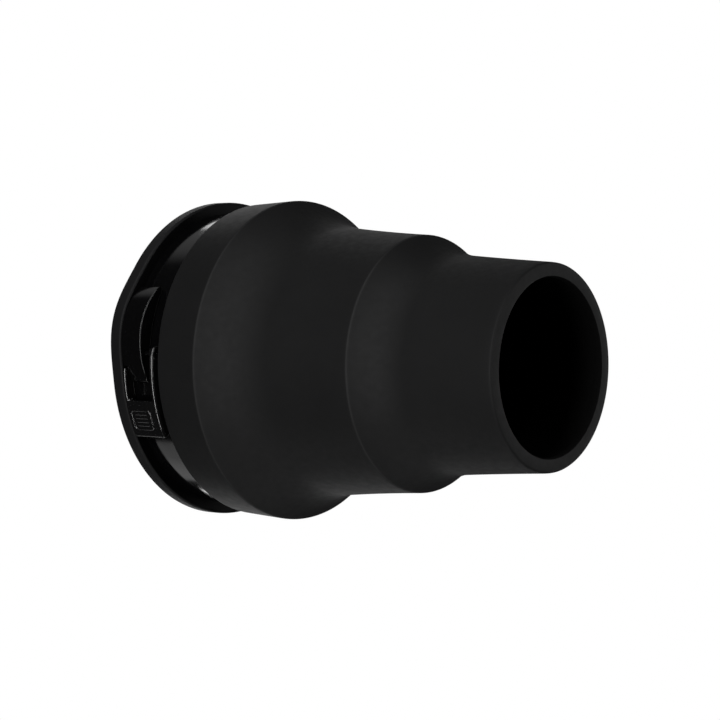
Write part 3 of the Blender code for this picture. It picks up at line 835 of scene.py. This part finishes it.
# ---------------------------------------------------------------------------------------
# Lock: housing, lever, spring
# ---------------------------------------------------------------------------------------
PIN_DISTANCE = 0.0567
PIN_RADIUS = 0.0009
HOUSING_START = HOUSING_LOW.x
HOUSING_END = HOUSING_HIGH.x + 0.0003
HOUSING_CREST_OUT = 0.0603
HOUSING_CREST_UP = 0.0060
HOUSING_TOP_CURVE = 0.0224
HOUSING_LOW_CURVE = 0.0286
HOUSING_END_RADIUS = 0.0566
HOUSING_TOP_ANGLE = 25.1
HOUSING_LOW_ANGLE = -10.8
HOUSING_LOW_ROUND = 0.0014
HOUSING_CROWN = 0.0007
HOUSING_NOTCH_UP = -0.0048
HOUSING_NOTCH_END = 0.0073
HOUSING_BEVEL = 0.00045
# The notch for the lever's rear wall and the pin's hole start just behind the rear face
HOUSING_CUT_START = 0.004
HOUSING_CUT_LOW = -0.015
PIN_HOLE_END = 0.016
PIN_HOLE_GAP = 0.0001
LEVER_RADIUS = 0.0593
LEVER_INNER_RADIUS = RING_RADIUS + TOUCH_GAP
LEVER_START = LEVER_LOW.x
LEVER_END = 0.0206
LEVER_REAR_WALL = 0.0014
LEVER_FRONT_WALL = 0.0016
LEVER_PLATE = 0.0019
LEVER_PLATE_ANGLE = -16.8
LEVER_LOW_ANGLE = -30.5
LEVER_REAR_TOP_ANGLE = -5.5
# Degrees between the lever's cross-sections
LEVER_STEP = 1.2
LEVER_BEVEL = 0.00070
LEVER_EYE_RADIUS = 0.0026
LEVER_EYE_START = 0.0188
LEVER_EYE_STEPS = 48
LEVER_EYE_DISH = 0.0003
FRAME_X = (0.0076, 0.0168)
FRAME_ANGLES = (-27.2, -20.3)
FRAME_CORNER = 0.0012
FRAME_BEAD = (0.00065, 0.00034)
GRIP_RIBS = 4
GRIP_RIB_BEAD = (0.00055, 0.00012)
GRIP_RIB_INSET = 0.0018
# A raised bead's section: shares of its width to each side, and of its height
BEAD_SECTION = ((-0.5, -0.4), (-0.46, 0.35), (-0.28, 0.82), (0.0, 1.0), (0.28, 0.82),
                (0.46, 0.35), (0.5, -0.4))
SPRING_WIRE = 0.00022
SPRING_RADIUS = 0.00115
SPRING_TURNS = 5.5
SPRING_STEPS_A_TURN = 28
SPRING_SIDES = 8


def housing_crown(shrink, low_up, top_up, steps):
    """The housing's crowned outside, or its ceiling when shrunk by the crown's thickness."""
    points = []
    for index in range(steps + 1):
        up = low_up + (top_up - low_up) * index / steps
        curve = HOUSING_TOP_CURVE if up > HOUSING_CREST_UP else HOUSING_LOW_CURVE
        reach = math.sqrt((curve - shrink) ** 2 - (up - HOUSING_CREST_UP) ** 2)
        points.append((HOUSING_CREST_OUT - curve + reach, up))
    return points


def round_low_end(points, radius):
    """Replace the crown's low end with a quarter round that turns in toward the ring."""
    _, up = points[0]
    above = [point for point in points if point[1] > up + radius]
    centre_out = above[0][0] - radius
    turned = [(centre_out + radius * math.sin(math.radians(a)),
               up + radius * (1.0 - math.cos(math.radians(a)))) for a in range(0, 90, 10)]
    return turned + above


def housing_piece():
    """The humped cover: crowned outside, hollow over the pocket, notched for the lever."""
    foot = RING_RADIUS + TOUCH_GAP
    low_up = HOUSING_END_RADIUS * math.sin(math.radians(HOUSING_LOW_ANGLE))
    top_up = HOUSING_END_RADIUS * math.sin(math.radians(HOUSING_TOP_ANGLE))
    crown = round_low_end(housing_crown(0.0, low_up, top_up, 88), HOUSING_LOW_ROUND)
    base = arc(0.0, 0.0, foot, HOUSING_TOP_ANGLE, HOUSING_LOW_ANGLE, 24)
    bm = bmesh.new()
    add_prism(bm, crown + base, HOUSING_START, HOUSING_END)
    housing = new_object("housing_shell", bm)
    add_bevel(housing, HOUSING_BEVEL, 3, SMOOTH_ANGLE)
    baked(housing)
    pocket, notch, pin_hole = bmesh.new(), bmesh.new(), bmesh.new()
    ceiling = housing_crown(HOUSING_CROWN, POCKET_LOW, POCKET_TOP, 24)
    add_prism(pocket, [(CUT_INSIDE, POCKET_LOW)] + ceiling + [(CUT_INSIDE, POCKET_TOP)],
              POCKET_START, POCKET_END)
    add_box(notch, (CUT_INSIDE, HOUSING_CUT_OUTSIDE), (HOUSING_CUT_LOW, HOUSING_NOTCH_UP),
            (HOUSING_CUT_START, HOUSING_NOTCH_END))
    add_prism(pin_hole, hole(PIN_DISTANCE, 0.0, PIN_RADIUS + PIN_HOLE_GAP),
              HOUSING_CUT_START, PIN_HOLE_END)
    for tool in (pocket, notch, pin_hole):
        cut_away(housing, tool)
    even_shading(housing)
    finish_piece(housing, GLOSS, "gloss_plastic", "mount", "latch_housing")


def cell_solid(stations, radii, angles, filled):
    """Solid made of curved cells; filled(i, j, k) says whether a cell holds material."""
    counts = (len(stations) - 1, len(radii) - 1, len(angles) - 1)
    bm = bmesh.new()
    corners = {}

    def corner(key):
        if key not in corners:
            i, j, k = key
            corners[key] = bm.verts.new(ring_point(stations[i], radii[j], angles[k]))
        return corners[key]

    def solid(cell):
        inside = all(0 <= cell[n] < counts[n] for n in range(3))
        return inside and filled(*cell)

    for cell in itertools.product(*(range(count) for count in counts)):
        if not solid(cell):
            continue
        for axis, side in itertools.product(range(3), (0, 1)):
            beside = list(cell)
            beside[axis] += 2 * side - 1
            if solid(beside):
                continue
            first, second = [n for n in range(3) if n != axis]
            face = []
            for a, b in ((0, 0), (1, 0), (1, 1), (0, 1)):
                key = list(cell)
                key[axis] += side
                key[first] += a
                key[second] += b
                face.append(corner(tuple(key)))
            bm.faces.new(face)
    return bm


def lever_tray():
    """The lever's curved tray: front wall, shorter rear wall and a plate between them."""
    stations = (LEVER_START, LEVER_START + LEVER_REAR_WALL, LEVER_END - LEVER_FRONT_WALL, LEVER_END)
    radii = (LEVER_INNER_RADIUS, LEVER_RADIUS - LEVER_PLATE, LEVER_RADIUS)
    angles = chained(LEVER_LOW_ANGLE, (LEVER_PLATE_ANGLE, LEVER_STEP),
                     (LEVER_REAR_TOP_ANGLE, LEVER_STEP), (0.0, LEVER_STEP))

    def filled(across, depth, along):
        """Front wall all along, rear wall below its top, plate between them low down."""
        middle = 0.5 * (angles[along] + angles[along + 1])
        if across == 2:
            return True
        if across == 0:
            return middle < LEVER_REAR_TOP_ANGLE
        return depth == 1 and middle < LEVER_PLATE_ANGLE

    tray = new_object("lever_tray", cell_solid(stations, radii, angles, filled))
    add_bevel(tray, LEVER_BEVEL, 4, SMOOTH_ANGLE)
    baked(tray)
    even_shading(tray)
    finish_piece(tray, LEVER, "lever_plastic", "lever", "latch_lever")


def lever_eye():
    """Round boss of the lever about its pin, with a rounded rim and a dished face."""
    start, end = LEVER_EYE_START, LEVER_HIGH.x
    hole_radius = PIN_RADIUS + PIN_HOLE_GAP
    outline = filleted((
        (start, hole_radius, 0.0), (start, LEVER_EYE_RADIUS, 0.0006),
        (end, LEVER_EYE_RADIUS, 0.0005), (end, PIN_RADIUS + 0.0007, 0.0002),
        (end - LEVER_EYE_DISH, PIN_RADIUS + 0.0005, 0.0001),
        (end - LEVER_EYE_DISH, hole_radius, 0.0)))
    bm = bmesh.new()
    loops = []
    for index in range(LEVER_EYE_STEPS):
        turn = 2.0 * math.pi * index / LEVER_EYE_STEPS
        loops.append([bm.verts.new(side_point(x, PIN_DISTANCE + radius * math.cos(turn),
                                              radius * math.sin(turn)))
                      for x, radius in outline])
    loft(bm, loops, closed=True)
    made = new_object("lever_eye", bm)
    finish_piece(made, LEVER, "lever_plastic", "lever")


def swept_bead(bm, path, width, height, closed):
    """Add a low rounded bead that follows (x, angle) points over the lever's outside."""
    loops = []
    count = len(path)
    for index, (x, angle) in enumerate(path):
        before = path[index - 1] if closed or index else path[0]
        after = path[(index + 1) % count] if closed or index < count - 1 else path[-1]
        run = Vector((after[0] - before[0],
                      math.radians(after[1] - before[1]) * LEVER_RADIUS)).normalized()
        loop = []
        for across, lift in BEAD_SECTION:
            move_x = -run.y * across * width
            move_angle = math.degrees(run.x * across * width / LEVER_RADIUS)
            loop.append(bm.verts.new(ring_point(x + move_x, LEVER_RADIUS + lift * height,
                                                angle + move_angle)))
        loops.append(loop)
    loft(bm, loops, closed)


def lever_frame():
    """Raised rounded frame on the lever's plate with plain grip ribs inside it."""
    scale = math.degrees(1.0 / LEVER_RADIUS)
    (start, end), (low, top) = FRAME_X, FRAME_ANGLES
    corners = [(x, angle / scale, FRAME_CORNER)
               for x, angle in ((start, low), (end, low), (end, top), (start, top))]
    path = [(x, along * scale) for x, along in filleted(corners, 6)]
    bm = bmesh.new()
    swept_bead(bm, path, *FRAME_BEAD, closed=True)
    stations = spaced(start + GRIP_RIB_INSET, end - GRIP_RIB_INSET, FOLD_STEP)
    for rib in range(1, GRIP_RIBS + 1):
        angle = low + (top - low) * rib / (GRIP_RIBS + 1)
        swept_bead(bm, [(x, angle) for x in stations], *GRIP_RIB_BEAD, closed=False)
    made = new_object("lever_frame", bm, 45.0)
    finish_piece(made, LEVER, "lever_plastic", "lever")


def spring_piece():
    """Compression spring whose end coils lie close, drawn out evenly between them."""
    across = 0.5 * (POCKET_START + POCKET_END)
    low = -SPRING_HIGH.y + SPRING_WIRE
    high = -SPRING_LOW.y - SPRING_WIRE
    # Rise of each end coil, and of each coil between them
    dead = 2.1 * SPRING_WIRE
    free = (high - low - 2.0 * dead) / (SPRING_TURNS - 2.0)
    steps = int(SPRING_STEPS_A_TURN * SPRING_TURNS)
    bm = bmesh.new()
    loops = []
    for index in range(steps + 1):
        turns = SPRING_TURNS * index / steps
        angle = 2.0 * math.pi * turns
        out = low + dead * min(turns, 1.0)
        out += free * min(max(turns - 1.0, 0.0), SPRING_TURNS - 2.0)
        out += dead * max(turns - SPRING_TURNS + 1.0, 0.0)
        loop = []
        for side in range(SPRING_SIDES):
            tilt = 2.0 * math.pi * side / SPRING_SIDES
            reach = SPRING_RADIUS + SPRING_WIRE * math.cos(tilt)
            loop.append(bm.verts.new(side_point(across + reach * math.cos(angle),
                                                out + SPRING_WIRE * math.sin(tilt),
                                                SPRING_UP + reach * math.sin(angle))))
        loops.append(loop)
    loft(bm, loops)
    spring = new_object("return_spring", bm)
    spring.data.materials.append(SPRING_STEEL)
    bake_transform(spring)
    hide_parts("jaw_spring")


def carry_over(node, material, edge):
    """Give a CAD node that stays its own material and softened edges."""
    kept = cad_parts[node]
    for index in range(len(kept.material_slots)):
        kept.material_slots[index].material = material
    weld = kept.modifiers.new("weld", "WELD")
    weld.merge_threshold = 0.00001
    add_bevel(kept, edge, 2, CUT_SMOOTH_ANGLE)
    even_shading(kept)


# ---------------------------------------------------------------------------------------
# Stage, light and camera
# ---------------------------------------------------------------------------------------
# Fitted to the ellipses of the ridges, the mouth and the flange; the lens is in millimetres
CAMERA_PLACE = Vector((0.52553, -0.56047, -0.00876))
CAMERA_AIM = Vector((0.06639, 0.0, 0.00071))
CAMERA_ROLL = math.radians(-2.3155)
CAMERA_LENS = 100.87
FLOOR_HEIGHT = -1.00
FLOOR_RADIUS = 0.65
# Soft glow in the surroundings: its direction, the cosines at its edge and core, its strength
GLOW_WAY = (-0.66, 0.20, 0.725)
GLOW_EDGE, GLOW_CORE = 0.93, 0.99
GLOW_LIGHT = 0.28
ROOM_LIGHT = 0.02
# Rectangular lights: name, place, point they face, width and height in metres, power in watts
LIGHTS = (
    ("key_strip", (0.33, -1.20, 0.08), (0.07, 0, 0.0), (0.16, 2.9), 18.4),
    ("top_panel", (0.15, -0.55, 1.25), (0.07, 0, 0), (0.6, 0.6), 2.9),
    ("front_panel", (1.40, 0.10, 0.30), (0.10, 0, 0), (0.7, 0.9), 7.0),
    ("rim_panel", (0.56, 1.13, 0.10), (0.149, 0, 0), (0.5, 0.9), 1.5),
    ("low_panel", (-0.45, 0.0, -0.50), (0.015, -0.03, -0.03), (0.38, 0.06), 0.045),
    ("high_panel", (-0.985, 0.657, 0.743), (0.02, 0, 0), (0.30, 0.38), 0.80),
    ("low_glint", (-0.985, 0.715, -0.705), (0.02, 0, 0), (0.26, 0.26), 0.62),
    ("back_wall", (-0.97, 1.04, -0.05), (0.05, 0, 0), (0.36, 2.2), 2.6),
)


def add_camera():
    """The camera at its place, turned to its aim and rolled about that line."""
    data = bpy.data.cameras.new("camera")
    data.lens = CAMERA_LENS
    data.sensor_width = 36.0
    data.clip_start = 0.01
    data.clip_end = 50.0
    camera = bpy.data.objects.new("camera", data)
    forward = (CAMERA_AIM - CAMERA_PLACE).normalized()
    right = forward.cross(Vector((0, 0, 1))).normalized()
    up = right.cross(forward)
    turned_right = right * math.cos(CAMERA_ROLL) - up * math.sin(CAMERA_ROLL)
    turned_up = up * math.cos(CAMERA_ROLL) + right * math.sin(CAMERA_ROLL)
    basis = Matrix((turned_right, turned_up, -forward)).transposed().to_4x4()
    camera.matrix_world = Matrix.Translation(CAMERA_PLACE) @ basis
    bpy.context.scene.collection.objects.link(camera)
    bpy.context.scene.camera = camera


def add_light(name, place, aim, size, power):
    """A rectangular light that lights the scene and stays out of the picture."""
    data = bpy.data.lights.new(name, "AREA")
    data.shape = "RECTANGLE"
    data.size, data.size_y = size
    data.energy = power
    light = bpy.data.objects.new(name, data)
    light.location = place
    light.visible_camera = False
    light.rotation_mode = "QUATERNION"
    direction = Vector(aim) - Vector(place)
    light.rotation_quaternion = direction.to_track_quat("-Z", "Y")
    bpy.context.scene.collection.objects.link(light)


def add_world():
    """White to the camera; dim round the object, with a soft glow from one direction."""
    world = bpy.data.worlds.new("studio")
    world.use_nodes = True
    tree = world.node_tree
    shader = tree.nodes["Background"]
    shader.inputs["Color"].default_value = (1.0, 1.0, 1.0, 1.0)
    coordinates = tree.nodes.new("ShaderNodeTexCoord")
    toward = tree.nodes.new("ShaderNodeVectorMath")
    toward.operation = "DOT_PRODUCT"
    toward.inputs[1].default_value = GLOW_WAY
    tree.links.new(coordinates.outputs["Generated"], toward.inputs[0])
    glow = tree.nodes.new("ShaderNodeMapRange")
    glow.interpolation_type = "SMOOTHSTEP"
    glow.inputs["From Min"].default_value = GLOW_EDGE
    glow.inputs["From Max"].default_value = GLOW_CORE
    glow.inputs["To Min"].default_value = ROOM_LIGHT
    glow.inputs["To Max"].default_value = GLOW_LIGHT
    tree.links.new(toward.outputs["Value"], glow.inputs["Value"])
    path = tree.nodes.new("ShaderNodeLightPath")
    choice = tree.nodes.new("ShaderNodeMix")
    choice.data_type = "FLOAT"
    choice.inputs[FLOAT_B].default_value = 1.0
    tree.links.new(path.outputs["Is Camera Ray"], choice.inputs[FACTOR])
    tree.links.new(glow.outputs["Result"], choice.inputs[FLOAT_A])
    tree.links.new(choice.outputs[FLOAT_OUT], shader.inputs["Strength"])
    bpy.context.scene.world = world


def add_floor():
    """A plain pale disc far below the object."""
    bm = bmesh.new()
    bmesh.ops.create_circle(bm, cap_ends=True, segments=96, radius=FLOOR_RADIUS)
    floor = new_object("floor", bm)
    floor.location.z = FLOOR_HEIGHT
    material, _, shader = node_material("floor_white", (0.85, 0.85, 0.85), 0.9, specular=0.2)
    shader.inputs["Emission Color"].default_value = (1.0, 1.0, 1.0, 1.0)
    shader.inputs["Emission Strength"].default_value = 0.25
    floor.data.materials.append(material)


hood_rear()
hood_front()
flange_piece()
ring_piece()
housing_piece()
lever_tray()
lever_eye()
lever_frame()
spring_piece()
for screw_name, screw_out, screw_up in screw_places():
    screw_piece(screw_name, screw_out, screw_up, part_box(screw_name)[1].x)
for pad_number, pad_angle in enumerate(PAD_ANGLES, 1):
    pad_piece(pad_number, pad_angle)
carry_over("lever_pin", PIN_STEEL, 0.00015)
carry_over("lock_cam", CAM_STEEL, 0.00015)
carry_over("locking_jaw", NYLON, 0.00025)

add_world()
add_floor()
add_camera()
for light in LIGHTS:
    add_light(*light)
bpy.context.scene.view_settings.view_transform = "Standard"
